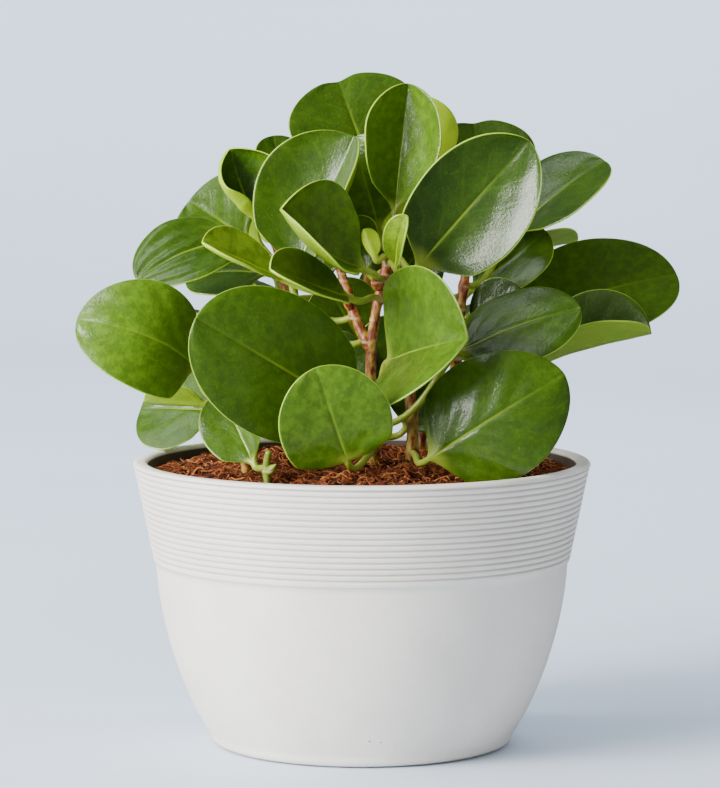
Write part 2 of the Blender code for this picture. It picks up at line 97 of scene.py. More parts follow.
def pot_outline():
    """Radius and height of the pot's section, from the middle of the base round to the inner floor."""
    outline = [(0.0, 0.0), (30.0, 0.0), (BASE_RADIUS - 2, 0.0), (BASE_RADIUS, 0.0)]
    for angle in (15, 30, 45, 60, 75):
        turn = math.radians(angle)
        outline.append((BASE_RADIUS + BASE_ROUNDING * math.sin(turn), BASE_ROUNDING * (1 - math.cos(turn))))
    body = body_points(26)
    outline += [(point.x, point.y) for point in reversed(body)]
    outline += [(body[0].x + 0.3, BODY_TOP + 0.1), (band_radius(BAND_FOOT) - 0.25, BODY_TOP + 0.3),
                (band_radius(BAND_FOOT), BAND_FOOT)]
    for groove in reversed(range(GROOVE_COUNT)):
        middle = POT_HEIGHT - FIRST_GROOVE_DOWN - GROOVE_PITCH * groove
        for offset in (-1.1, -0.75, -0.5, -0.3, -0.12, 0.12, 0.3, 0.5, 0.75):
            depth = GROOVE_DEPTH * math.exp(-(offset / 0.42) ** 2)
            crown = 0.1 * (1 - math.cos(math.tau * offset / GROOVE_PITCH)) / 2
            outline.append((band_radius(middle + offset) - depth + crown, middle + offset))
    outer, inner = RIM_RADIUS - LIP_ROUNDING, RIM_RADIUS - LIP_WIDTH + LIP_ROUNDING
    for middle, angles in ((outer, (8, 25, 45, 65, 90)), (inner, (90, 115, 135, 155, 180))):
        for turn in [math.radians(angle) for angle in angles]:
            height = POT_HEIGHT - LIP_ROUNDING * (1 - math.sin(turn))
            outline.append((middle + LIP_ROUNDING * math.cos(turn), height))
    outline += [(RIM_RADIUS - LIP_WIDTH - 0.6, 117.0), (RIM_RADIUS - LIP_WIDTH - 2.2, 110.0)]
    outline += [(body[0].x - POT_WALL, BODY_TOP), (80.8, 55.0), (74.9, 34.0), (67.8, 18.0)]
    outline += [(62.5, POT_FLOOR + 2), (56.5, POT_FLOOR), (0.0, POT_FLOOR)]
    return outline


def turned_piece(name, outline, turns):
    """Spins an outline of radius and height, in millimetres, into a closed round body."""
    bpy.ops.object.select_all(action="DESELECT")
    bpy.ops.mesh.primitive_plane_add(size=1, location=(0, 0, 0))
    piece = bpy.context.object
    piece.name = name
    profile = bpy.data.meshes.new(name)
    points = [(radius * MM, 0.0, height * MM) for radius, height in outline]
    profile.from_pydata(points, [(i, i + 1) for i in range(len(points) - 1)], [])
    piece.data = profile
    bpy.ops.object.mode_set(mode="EDIT")
    bpy.ops.mesh.select_all(action="SELECT")
    bpy.ops.mesh.spin(steps=turns, angle=math.tau, center=(0, 0, 0), axis=(0, 0, 1))
    bpy.ops.mesh.select_all(action="SELECT")
    bpy.ops.mesh.remove_doubles(threshold=0.00001)
    bpy.ops.mesh.normals_make_consistent(inside=False)
    bpy.ops.object.mode_set(mode="OBJECT")
    bpy.ops.object.shade_smooth()
    return piece


def point_attribute(piece, name, values):
    """Stores one number for each point of the mesh, for the materials to read."""
    attribute = piece.data.attributes.new(name, "FLOAT", "POINT")
    attribute.data.foreach_set("value", np.ascontiguousarray(values, dtype=np.float32))


def positions(piece):
    flat = np.empty(len(piece.data.vertices) * 3, dtype=np.float32)
    piece.data.vertices.foreach_get("co", flat)
    return flat.reshape(-1, 3).astype(np.float64)


def linear(colour):
    """An sRGB hex colour as linear RGBA."""
    channels = [int(colour[i:i + 2], 16) / 255 for i in (1, 3, 5)]
    return [c / 12.92 if c <= 0.04045 else ((c + 0.055) / 1.055) ** 2.4 for c in channels] + [1.0]


def add_node(tree, kind, inputs=None, stops=(), **settings):
    """Adds a shader node with its settings: an input is a link, an sRGB hex colour or a plain value."""
    node = tree.nodes.new("ShaderNode" + kind)
    for key, value in settings.items():
        setattr(node, key, value)
    for socket, value in (inputs or {}).items():
        if isinstance(value, bpy.types.NodeSocket):
            tree.links.new(value, node.inputs[socket])
        else:
            node.inputs[socket].default_value = linear(value) if isinstance(value, str) else value
    while stops and len(node.color_ramp.elements) < len(stops):
        node.color_ramp.elements.new(0.5)
    for index, (position, colour) in enumerate(stops):
        node.color_ramp.elements[index].position = position
        node.color_ramp.elements[index].color = linear(colour)
    return node


def new_material(name):
    material = bpy.data.materials.new(name)
    material.use_nodes = True
    tree = material.node_tree
    tree.nodes.clear()
    shader = add_node(tree, "BsdfPrincipled")
    add_node(tree, "OutputMaterial", {"Surface": shader.outputs["BSDF"]})
    return material, tree, shader


def layer(tree, colour, tint, source, low, high, first, last):
    """Lays a tint over a colour, its share going from first to last while a number goes from low to high."""
    share = add_node(tree, "MapRange", {0: source, 1: low, 2: high, 3: first, 4: last},
                     interpolation_type="SMOOTHSTEP")
    mixed = add_node(tree, "Mix", {0: share.outputs[0], 6: colour, 7: tint}, data_type="RGBA")
    return mixed.outputs[2]


def pot_coat():
    """Matt sprayed coat on stoneware: chalky, with a fine sanded grain and a few dark specks."""
    material, tree, shader = new_material("matt_coated_stoneware")
    place = add_node(tree, "TexCoord").outputs["Object"]
    # Soft clouds about 35 mm wide, under a grain of 0.8 mm
    cloud = add_node(tree, "TexNoise", {"Vector": place, "Scale": 28.0, "Detail": 4.0, "Roughness": 0.6})
    colour = add_node(tree, "ValToRGB", {"Fac": cloud.outputs["Fac"]},
                      stops=[(0.3, "#dfd9d0"), (0.7, "#e9e4dc")]).outputs["Color"]
    grain = add_node(tree, "TexNoise", {"Vector": place, "Scale": 1300.0, "Detail": 2.0, "Roughness": 0.7})
    colour = layer(tree, colour, "#b9b5b0", grain.outputs["Fac"], 0.58, 0.75, 0.0, 0.35)
    # Specks 5 mm apart, of which only those in a few patches show
    specks = add_node(tree, "TexVoronoi", {"Vector": place, "Scale": 190.0})
    sparse = add_node(tree, "TexNoise", {"Vector": place, "Scale": 45.0, "Detail": 1.0})
    near = add_node(tree, "MapRange", {0: specks.outputs["Distance"], 1: 0.05, 2: 0.11, 3: 1.0, 4: 0.0},
                    interpolation_type="SMOOTHSTEP")
    patch = add_node(tree, "MapRange", {0: sparse.outputs["Fac"], 1: 0.66, 2: 0.72},
                     interpolation_type="SMOOTHSTEP")
    both = add_node(tree, "Math", {0: near.outputs[0], 1: patch.outputs[0]}, operation="MULTIPLY")
    colour = add_node(tree, "Mix", {0: both.outputs[0], 6: colour, 7: "#5f5a55"},
                      data_type="RGBA").outputs[2]
    # Painted shade: the grooves are tinted darker the deeper they are sunk
    groove = add_node(tree, "Attribute", attribute_name="groove").outputs["Fac"]
    colour = layer(tree, colour, "#9c958b", groove, 0.1, 0.9, 0.0, 0.45)
    # The inside below the lip is coloured a dark taupe
    inside = add_node(tree, "Attribute", attribute_name="inside").outputs["Fac"]
    colour = add_node(tree, "Mix", {0: inside, 6: colour, 7: "#4a4038"}, data_type="RGBA").outputs[2]
    tree.links.new(colour, shader.inputs["Base Color"])
    shader.inputs["Roughness"].default_value = 0.62
    shader.inputs["IOR"].default_value = 1.45
    bump = add_node(tree, "Bump", {"Height": grain.outputs["Fac"], "Strength": 0.25, "Distance": 0.3 * MM})
    tree.links.new(bump.outputs["Normal"], shader.inputs["Normal"])
    return material


pot = turned_piece("coated_pot", pot_outline(), POT_TURNS)
place = positions(pot) / MM
height = place[:, 2]
pot_radius = np.hypot(place[:, 0], place[:, 1])
body = np.array([tuple(point) for point in reversed(body_points(26))])
below_band = np.interp(height, body[:, 1], body[:, 0])
outer = np.where(height > BODY_TOP, band_radius(height), below_band)
hollow = (pot_radius < outer - POT_WALL + 1) & (height > POT_FLOOR - 0.5) & (height < POT_HEIGHT - 1.7)
point_attribute(pot, "inside", hollow.astype(float))
# How deep each point is sunk in a groove, which the coat turns into the grooves' painted shade
in_band = (height > BAND_FOOT + 0.1) & (height < POT_HEIGHT - 1.2) & ~hollow
sunk = (band_radius(height) - pot_radius) / GROOVE_DEPTH
point_attribute(pot, "groove", np.where(in_band, np.clip(sunk, 0, 1), 0.0))
pot.data.materials.append(pot_coat())
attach(pot, "root")
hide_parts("pot")


# Soil: damp potting mix, pressed in to a low mound just under the lip. Its surface is broken
# into clods and crumbs; its colour is darkened with depth, as painted shade in the gaps, and is red-brown on
# the crumbs.
SOIL_EDGE_DOWN = 6.0
SOIL_MOUND = 5.0
SOIL_RADIUS = 92.6
SOIL_GRID = 168
SOIL_SKIRT = ((37.0, 84.6), (45.0, 75.0), (29.0, 57.0))     # drop and radius of each ring under the edge
SOIL_FOOT = 7.0


def soil_height(x, y):
    """Height of the mound in millimetres at a place in millimetres, without its crumbs."""
    share = min(1.0, math.hypot(x, y) / SOIL_RADIUS)
    lumps = math.sin(x / 7.3 + 1.1) * math.cos(y / 8.9) + 0.6 * math.sin((x + 2 * y) / 11.7)
    return POT_HEIGHT - SOIL_EDGE_DOWN + SOIL_MOUND * (1 - share**2) + 0.9 * lumps * min(1.0, 6 * (1 - share))


def crumbled_height(x, y):
    """The same with clods, crumbs and grit, from coarse to fine."""
    clods = noise.noise(Vector((x / 8, y / 8, 1.7)))
    crumbs = noise.noise(Vector((x / 3.4, y / 3.4, 4.2)))
    grit = noise.noise(Vector((x / 1.5, y / 1.5, 9.1)))
    share = min(1.0, math.hypot(x, y) / SOIL_RADIUS)
    return soil_height(x, y) + (2.6 * clods + 1.8 * crumbs + 0.8 * grit) * (1 - 0.6 * share**8) - 0.8


def soil_material():
    """Damp coir compost: dull and rough, red-brown on the crumbs, and on the soil almost black in the gaps as
    painted shade.
    """
    material, tree, shader = new_material("damp_coir_compost")
    place = add_node(tree, "TexCoord").outputs["Object"]
    # shade: on the soil, painted shade by depth; on the coir strands and crumbs, a random tone
    shade = add_node(tree, "Attribute", attribute_name="shade").outputs["Fac"]
    # Crumbs 2.4 mm wide
    crumbs = add_node(tree, "TexNoise", {"Vector": place, "Scale": 420.0, "Detail": 5.0, "Roughness": 0.7})
    total = add_node(tree, "Math", {0: shade, 1: crumbs.outputs["Fac"]}, operation="ADD")
    half = add_node(tree, "Math", {0: total.outputs[0], 1: 0.5}, operation="MULTIPLY")
    colour = add_node(tree, "ValToRGB", {"Fac": half.outputs[0]},
                      stops=[(0.25, "#120703"), (0.42, "#431b0a"), (0.57, "#773a19"), (0.73, "#a66230"),
                             (0.92, "#d2a06c")])
    tree.links.new(colour.outputs["Color"], shader.inputs["Base Color"])
    shader.inputs["Roughness"].default_value = 0.85
    shader.inputs["Specular IOR Level"].default_value = 0.3
    bump = add_node(tree, "Bump", {"Height": crumbs.outputs["Fac"], "Strength": 0.6, "Distance": 0.8 * MM})
    tree.links.new(bump.outputs["Normal"], shader.inputs["Normal"])
    return material


def spread_soil():
    """A fine grid rounded to the pot, raised into crumbs, with its edge carried down to the pot's floor."""
    bpy.ops.object.select_all(action="DESELECT")
    bpy.ops.mesh.primitive_grid_add(x_subdivisions=SOIL_GRID, y_subdivisions=SOIL_GRID, size=2,
                                    location=(0, 0, 0))
    soil = bpy.context.object
    soil.name = "potting_soil"
    shade = []
    for vertex in soil.data.vertices:
        x, y = vertex.co.x, vertex.co.y
        round_x = x * math.sqrt(1 - y * y / 2) * SOIL_RADIUS
        round_y = y * math.sqrt(1 - x * x / 2) * SOIL_RADIUS
        height = crumbled_height(round_x, round_y)
        # Painted shade: the lower a point lies among the crumbs, the darker its colour, so the gaps go almost
        # black
        shade.append(0.35 + 0.16 * (height - soil_height(round_x, round_y)))
        vertex.co = Vector((round_x, round_y, height)) * MM
    point_attribute(soil, "shade", shade)
    bpy.ops.object.mode_set(mode="EDIT")
    bpy.ops.mesh.select_all(action="DESELECT")
    bpy.ops.mesh.select_mode(type="EDGE")
    bpy.ops.mesh.select_non_manifold(extend=False, use_wire=False, use_boundary=True, use_multi_face=False,
                                     use_non_contiguous=False, use_verts=False)
    above = SOIL_RADIUS
    for drop, radius in SOIL_SKIRT:
        shrink = radius / above
        above = radius
        bpy.ops.mesh.extrude_region_move(TRANSFORM_OT_translate={"value": (0, 0, -drop * MM)})
        bpy.ops.transform.resize(value=(shrink, shrink, 1), center_override=(0, 0, 0))
    bpy.ops.transform.resize(value=(1, 1, 0), center_override=(0, 0, SOIL_FOOT * MM))
    bpy.ops.mesh.edge_face_add()
    bpy.ops.mesh.select_all(action="SELECT")
    bpy.ops.mesh.normals_make_consistent(inside=False)
    bpy.ops.object.mode_set(mode="OBJECT")
    bpy.ops.object.shade_smooth()
    return soil


compost = soil_material()
soil = spread_soil()
soil.data.materials.append(compost)
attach(soil, "root")
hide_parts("soil")


# Coir: a loose top dressing of curled coconut fibre and small crumbs, strewn by hand over the
# soil. Each strand is a thin three-sided thread that lies on the mound and lifts at its ends.
STRAND_COUNT = 4000
STRAND_RINGS = 7
STRAND_CORNERS = (90, 210, 330)
CRUMB_COUNT = 380


def strand(chance):
    """Points along one curled fibre, its half thickness and its shade."""
    reach = SOIL_RADIUS * math.sqrt(chance.random()) * 0.985
    turn = chance.uniform(0, math.tau)
    x, y = reach * math.cos(turn), reach * math.sin(turn)
    heading = chance.uniform(0, math.tau)
    curl = chance.gauss(0, 0.6)
    length = chance.uniform(5, 16)
    lift = chance.uniform(-0.5, 4.5)
    rise = chance.uniform(-0.7, 2.6)
    points = []
    for ring in range(STRAND_RINGS):
        share = ring / (STRAND_RINGS - 1)
        height = crumbled_height(x, y) + 0.35 + lift * share * (1 - share) + rise * share
        points.append((x, y, height))
        heading += curl * chance.uniform(0.5, 1.5)
        step = length / (STRAND_RINGS - 1)
        ahead_x, ahead_y = x + math.cos(heading) * step, y + math.sin(heading) * step
        if math.hypot(ahead_x, ahead_y) > SOIL_RADIUS - 0.8:
            heading += math.pi
            ahead_x, ahead_y = x + math.cos(heading) * step, y + math.sin(heading) * step
        x, y = ahead_x, ahead_y
    return points, chance.uniform(0.18, 0.5), min(1.0, max(0.0, chance.gauss(0.62, 0.26)))


def strew_coir():
    chance = random.Random(41)
    points, faces, shades = [], [], []
    for _ in range(STRAND_COUNT):
        path, half, shade = strand(chance)
        first = len(points)
        for ring, (x, y, z) in enumerate(path):
            before = Vector(path[max(0, ring - 1)])
            after = Vector(path[min(STRAND_RINGS - 1, ring + 1)])
            ahead = (after - before).normalized()
            side = ahead.cross(Vector((0, 0, 1))).normalized()
            up = side.cross(ahead)
            size = half * (1 - 0.6 * abs(2 * ring / (STRAND_RINGS - 1) - 1) ** 2)
            for corner in STRAND_CORNERS:
                turn = math.radians(corner)
                points.append(Vector((x, y, z)) + side * (size * math.cos(turn))
                              + up * (size * math.sin(turn)))
                shades.append(shade)
        for ring in range(STRAND_RINGS - 1):
            for corner in range(3):
                low, high = first + ring * 3, first + ring * 3 + 3
                following = (corner + 1) % 3
                faces.append((low + corner, low + following, high + following, high + corner))
        last = first + (STRAND_RINGS - 1) * 3
        faces += [(first + 2, first + 1, first), (last, last + 1, last + 2)]
    bpy.ops.object.select_all(action="DESELECT")
    bpy.ops.mesh.primitive_ico_sphere_add(subdivisions=2, radius=1, location=(0, 0, 0))
    ball = bpy.context.object
    corners = [vertex.co.copy() for vertex in ball.data.vertices]
    sides = [tuple(face.vertices) for face in ball.data.polygons]
    bpy.data.objects.remove(ball, do_unlink=True)
    for _ in range(CRUMB_COUNT):
        reach = SOIL_RADIUS * math.sqrt(chance.random()) * 0.97
        turn = chance.uniform(0, math.tau)
        x, y = reach * math.cos(turn), reach * math.sin(turn)
        size = chance.uniform(0.7, 2.1)
        middle = Vector((x, y, crumbled_height(x, y) + size * 0.35))
        shade = min(1.0, max(0.0, chance.gauss(0.4, 0.2)))
        first = len(points)
        for corner in corners:
            rough = 1 + 0.5 * noise.noise(corner * 1.7 + middle)
            points.append(middle + Vector((corner.x, corner.y * 0.8, corner.z * 0.7)) * (size * rough))
            shades.append(shade)
        faces += [tuple(first + i for i in side) for side in sides]
    mesh = bpy.data.meshes.new("coir_strands")
    mesh.from_pydata([point * MM for point in points], [], faces)
    coir = bpy.data.objects.new("coir_strands", mesh)
    bpy.context.scene.collection.objects.link(coir)
    point_attribute(coir, "shade", shades)
    coir.select_set(True)
    bpy.context.view_layer.objects.active = coir
    bpy.ops.object.mode_set(mode="EDIT")
    bpy.ops.mesh.select_all(action="SELECT")
    bpy.ops.mesh.normals_make_consistent(inside=False)
    bpy.ops.object.mode_set(mode="OBJECT")
    bpy.ops.object.shade_smooth()
    return coir


coir = strew_coir()
coir.data.materials.append(compost)
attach(coir, "root")


# Stems: soft, jointed and fleshy, rooted in the soil and thickened where each leaf grows. Old skin is
# mottled olive and red-brown with pale leaf scars. One stem carries a stout side shoot, and furled buds.
STEMS = {
    # name: (radius at the foot, radius at the top, points), in millimetres
    "centre": (2.9, 1.8, [(5, -12, 104), (5, -12, 128), (4, -16, 150), (4, -18, 172),
                          (6, -19, 190), (10, -18, 206), (13, -16, 217), (14, -14, 229)]),
    "left": (2.5, 1.8, [(-50, -26, 104), (-50, -26, 126), (-54, -28, 136), (-59, -30, 148),
                        (-62, -32, 160), (-63, -32, 172)]),
    "front_right": (3.0, 2.0, [(22, -9, 104), (22, -9, 128), (22, -9, 142), (21, -7, 156),
                               (24, -1, 172), (26, 4, 186)]),
    "back_right": (2.8, 1.8, [(38, 26, 104), (38, 26, 128), (40, 20, 150), (42, 12, 172),
                              (43, 8, 188), (45, 8, 202), (47, 12, 216), (49, 16, 230)]),
    "back_left": (2.8, 1.8, [(-30, 24, 104), (-30, 24, 128), (-31, 20, 150), (-32, 15, 172),
                             (-33, 14, 192), (-36, 16, 210), (-40, 18, 228)]),
    "back_centre": (2.8, 1.8, [(3, 36, 104), (3, 36, 128), (3, 35, 160), (3, 34, 195),
                               (2, 34, 222), (1, 35, 244)]),
    "rear_left": (2.8, 1.8, [(-26, 56, 104), (-26, 56, 128), (-28, 58, 152), (-30, 59, 178),
                             (-31, 58, 202), (-31, 56, 224)]),
    "rear_right": (2.8, 1.8, [(27, 58, 104), (27, 58, 128), (29, 60, 152), (31, 60, 180),
                              (32, 58, 204), (33, 56, 226)]),
    "sprout": (2.0, 1.4, [(-40, -61, 106), (-40, -61, 125), (-40, -62, 130), (-39, -64, 135)]),
}
SIDE_SHOOT = (2.4, 1.8, [(4, -18, 174), (0, -16, 181), (-4, -13, 190), (-7, -9, 200), (-10, -5, 210),
                         (-12, -1, 220)])
BUDS = {
    # stem: (height, direction, length, width) of each furled bud
    "centre": [(200, (-0.5, -0.8, 0.5), 9, 5)],
    "side_shoot": [(190, (-0.6, -0.5, 0.9), 8, 4)],
    "sprout": [(125, (0.6, -0.7, 0.5), 7, 4)],
    "left": [(150, (0.5, -0.7, 0.8), 7, 4)],
}
# The leaves are listed here because a stem thickens at each: name, stem, height on it, foot and tip of the
# blade, way its upper face looks, width, fold and cup in degrees, arch, shoulder
LEAVES = [
    ("front_left", "centre", 136, (1, -42, 146), (-69, -76, 192), (-0.2, -1, 0.35), 61, 0, -8, 4, 0.6),
    ("front_round", "centre", 130, (-6, -71, 131), (-19, -86, 172), (0, -1, 0.25), 48, 2, 8, 2, 0.4),
    ("front_right", "front_right", 128, (28, -54, 130), (85, -60, 167), (0.2, -1, 0.3), 56, -4, -18, 9, 0.45),
    ("centre_folded", "centre", 158, (11, -27, 169), (44, -75, 183), (-0.78, -0.5, 0.38), 73, 22, 8, 2, 0.42),
    ("centre_left", "centre", 204, (3, -29, 208), (-34, -55, 236), (0.7, -0.48, 0.5), 58, 26, 22, -5, 0.7),
    ("centre_low", "centre", 196, (-4, -42, 197), (-38, -78, 212), (-0.1, -0.75, 0.65), 30, 14, 20, 0, 0.7),
    ("crown_left", "side_shoot", 188, (-30, -1, 203), (-3, 3, 265), (-0.6, -0.75, 0.28), 66, 22, 36, 0, 0.6),
    ("crown_centre", "centre", 221, (14, -7, 231), (20, -3, 288), (0, -1, 0.05), 48, 34, 24, -2, 0.75),
    ("crown_right", "centre", 214, (23, -28, 209), (71, -36, 264), (0.16, -0.95, 0.15), 53, 0, 44, -3, 0.5),
    ("upper_right", "back_right", 200, (65, 24, 220), (108, 34, 253), (-0.35, -0.5, 0.8), 48, 6, 8, 2, 0.7),
    ("upper_back", "back_right", 218, (56, 40, 232), (50, 56, 271), (0.1, -0.9, 0.4), 52, 6, 10, -2, 0.7),
    ("crown_behind", "back_centre", 228, (20, 12, 245), (26, 10, 283), (0.2, 0.9, 0.4), 38, 10, 12, 0, 0.7),
    ("top", "back_centre", 236, (4, 33, 250), (-11, 44, 290), (0.1, -0.9, 0.4), 60, 2, 8, 0, 0.6),
    ("crown_inner", "centre", 217, (8, 6, 224), (-4, 19, 264), (-0.4, -0.75, 0.55), 46, 8, 12, 0, 0.7),
    ("young_right", "centre", 211, (15, -33, 210), (19, -46, 233), (-0.6, -0.8, 0.2), 15, 18, 30, 2, 0.75),
    ("young_left", "centre", 213, (6, -23, 213), (1, -21, 226), (0.3, 0.8, 0.3), 10, 20, 30, 0, 0.75),
    ("left_ridged", "back_left", 206, (-54, 2, 220), (-97, -14, 203), (-0.25, -0.7, 0.7), 40, 4, 6, 5, 0.5),
    ("left_under", "back_left", 186, (-41, 22, 204), (-78, 26, 202), (-0.1, -0.6, 0.8), 36, 4, 8, 2, 0.7),
    ("left_rimmed", "side_shoot", 198, (-34, -18, 204), (-68, -34, 221), (0.1, -0.6, 0.9), 28, 16, 24, 0, 0.75),
    ("left_upper", "back_left", 212, (-50, 30, 218), (-77, 38, 235), (-0.35, -0.7, 0.6), 46, 4, 8, 2, 0.7),
    ("left_cup", "back_left", 220, (-45, 19, 226), (-58, 20, 259), (0.3, -0.9, 0.3), 46, 10, 150, -4, 0.7),
    ("left_back", "back_left", 218, (-34, 38, 244), (-40, 46, 264), (0.3, -0.9, 0.2), 22, 6, 8, 0, 0.7),
    ("left_bright", "left", 156, (-71, -37, 167), (-120, -54, 189), (-0.25, -0.85, 0.5), 50, 0, 6, 14, 0.5),
    ("left_low", "back_left", 140, (-64, 44, 140), (-100, 58, 140), (-0.2, -0.7, 0.65), 48, 2, 6, 2, 0.65),
    ("left_turned", "left", 142, (-67, -4, 149), (-95, -2, 150), (0.1, 0.5, 0.85), 22, 16, 10, 0, 0.75),
    ("sprout_folded", "sprout", 127, (-45, -60, 128), (-60, -42, 158), (-0.4, -0.9, 0.1), 32, 24, 10, 0, 0.6),
    ("right_folded", "back_right", 152, (78, 14, 165), (127, 8, 179), (0, -0.4, 0.92), 50, 44, 16, 2, 0.6),
    ("right_large", "back_right", 176, (62, 30, 181), (141, 46, 202), (-0.1, -0.8, 0.6), 54, 4, 8, 4, 0.55),
    ("right_drooping", "centre", 140, (41, -20, 172), (94, -24, 192), (-0.1, -0.7, 0.7), 42, 0, -6, 3, 0.5),
    ("right_inner", "back_right", 190, (48, 24, 196), (82, 30, 222), (-0.3, -0.8, 0.5), 34, 4, 6, 0, 0.7),
    ("right_low", "back_right", 138, (63, 46, 146), (86, 60, 161), (-0.2, -0.8, 0.5), 30, 4, 6, 2, 0.7),
    ("rear_left_low", "rear_left", 138, (-44, 72, 148), (-82, 96, 158), (-0.4, 0.6, 0.7), 54, 4, 8, 4, 0.65),
    ("rear_left_side", "rear_left", 158, (-52, 56, 168), (-98, 62, 184), (-0.3, 0.1, 0.9), 48, 6, 10, 4, 0.6),
    ("rear_left_mid", "rear_left", 176, (-40, 76, 184), (-70, 104, 202), (-0.3, 0.6, 0.8), 50, 6, 10, 4, 0.6),
    ("rear_left_high", "rear_left", 204, (-44, 66, 212), (-72, 82, 234), (-0.4, 0.5, 0.8), 46, 8, 12, 2, 0.7),
    ("rear_left_top", "rear_left", 216, (-27, 68, 228), (-24, 80, 262), (0, 0.9, 0.4), 44, 8, 14, 2, 0.7),
    ("rear_right_low", "rear_right", 138, (46, 74, 148), (86, 96, 158), (0.4, 0.6, 0.7), 54, 4, 8, 4, 0.6),
    ("rear_right_mid", "rear_right", 168, (46, 76, 178), (80, 102, 194), (0.4, 0.6, 0.8), 52, 6, 8, 4, 0.6),
    ("rear_right_side", "rear_right", 190, (54, 62, 198), (98, 72, 216), (0.2, 0.2, 0.9), 50, 8, 10, 4, 0.65),
    ("rear_right_high", "rear_right", 212, (42, 66, 222), (64, 78, 254), (0.3, 0.7, 0.6), 46, 8, 12, 2, 0.7),
    ("rear_low", "rear_right", 144, (6, 80, 152), (2, 116, 156), (0, 0.4, 0.9), 54, 6, 8, 4, 0.6),
    ("rear_mid_left", "rear_left", 190, (-16, 78, 196), (-14, 108, 220), (0, 0.7, 0.65), 50, 6, 10, 4, 0.65),
    ("rear_mid_right", "rear_right", 182, (20, 82, 186), (26, 112, 206), (0.1, 0.7, 0.6), 48, 6, 10, 4, 0.6),
    ("rear_crown", "back_centre", 210, (3, 52, 220), (6, 74, 252), (0, 0.8, 0.5), 50, 8, 12, 2, 0.65),
    ("rear_top", "back_centre", 236, (6, 46, 246), (14, 56, 280), (0.2, 0.9, 0.3), 44, 8, 12, 2, 0.7),
]
# Small shaded leaves inside the crown, which close the gaps between the stems
INNER_LEAVES = [
    ("inner_centre", "back_centre", 165, (0, 28, 172), (-16, 22, 200), (-0.1, -1, 0.3), 34, 6, 8, 2, 0.65),
    ("inner_centre_right", "back_centre", 190, (10, 27, 194), (30, 20, 220), (0.1, -1, 0.3), 34, 6, 8, 2, 0.65),
    ("inner_low", "back_centre", 130, (19, 37, 133), (36, 34, 158), (0.1, -1, 0.3), 34, 4, 8, 2, 0.65),
    ("inner_centre_low", "back_centre", 145, (8, 20, 148), (18, 15, 186), (0, -1, 0.3), 34, 6, 8, 2, 0.65),
    ("inner_mid_left", "back_left", 152, (-22, 14, 156), (3, 11, 170), (0, -1, 0.4), 32, 4, 8, 2, 0.65),
    ("inner_left", "side_shoot", 178, (-14, -18, 180), (-38, -27, 188), (-0.1, -0.8, 0.6), 22, 6, 8, 2, 0.65),
    ("inner_right", "back_right", 168, (50, 10, 176), (72, 2, 196), (-0.1, -0.9, 0.5), 34, 4, 8, 2, 0.65),
    ("inner_crown", "centre", 207, (3, -2, 206), (-7, 7, 228), (-0.3, -0.9, 0.3), 26, 10, 12, 2, 0.7),
]


def smooth_path(points, steps=10):
    """A dense smooth path through the points."""
    knots = [Vector(p) for p in points]
    knots = [knots[0] * 2 - knots[1]] + knots + [knots[-1] * 2 - knots[-2]]
    path = []
    for before, start, end, after in zip(knots, knots[1:], knots[2:], knots[3:]):
        for step in range(steps):
            leaving, coming = start + (end - before) / 6, end - (after - start) / 6
            path.append(curve_point(start, leaving, coming, end, step / steps))
    path.append(knots[-2])
    return path


def at_height(path, height):
    """Place and direction of a rising path at a height."""
    for low, high in zip(path, path[1:]):
        if low.z <= height <= high.z:
            return low.lerp(high, (height - low.z) / (high.z - low.z)), (high - low).normalized()
    return path[-1].copy(), (path[-1] - path[-2]).normalized()


def leaf_heights(stem):
    return sorted(row[2] for row in LEAVES + INNER_LEAVES if row[1] == stem)


def stem_radius(stem, height):
    """Half thickness of a stem or the side shoot: tapering up, with a soft swelling at each leaf."""
    foot_radius, top_radius, points = STEMS.get(stem, SIDE_SHOOT)
    share = (height - points[0][2]) / (points[-1][2] - points[0][2])
    radius = foot_radius + (top_radius - foot_radius) * share
    for node in leaf_heights(stem):
        radius += 0.55 * math.exp(-((height - node + 0.6) / 1.9) ** 2)
    return radius * (1 - 0.65 * max(0.0, (share - 0.965) / 0.035) ** 2)


def add_strand_to(curve, path, radii):
    """Adds a path, in millimetres, to a curve object as one more round strand."""
    spline = curve.splines.new("POLY")
    spline.points.add(len(path) - 1)
    for point, place, radius in zip(spline.points, path, radii):
        point.co = (*(place * MM), 1.0)
        point.radius = radius


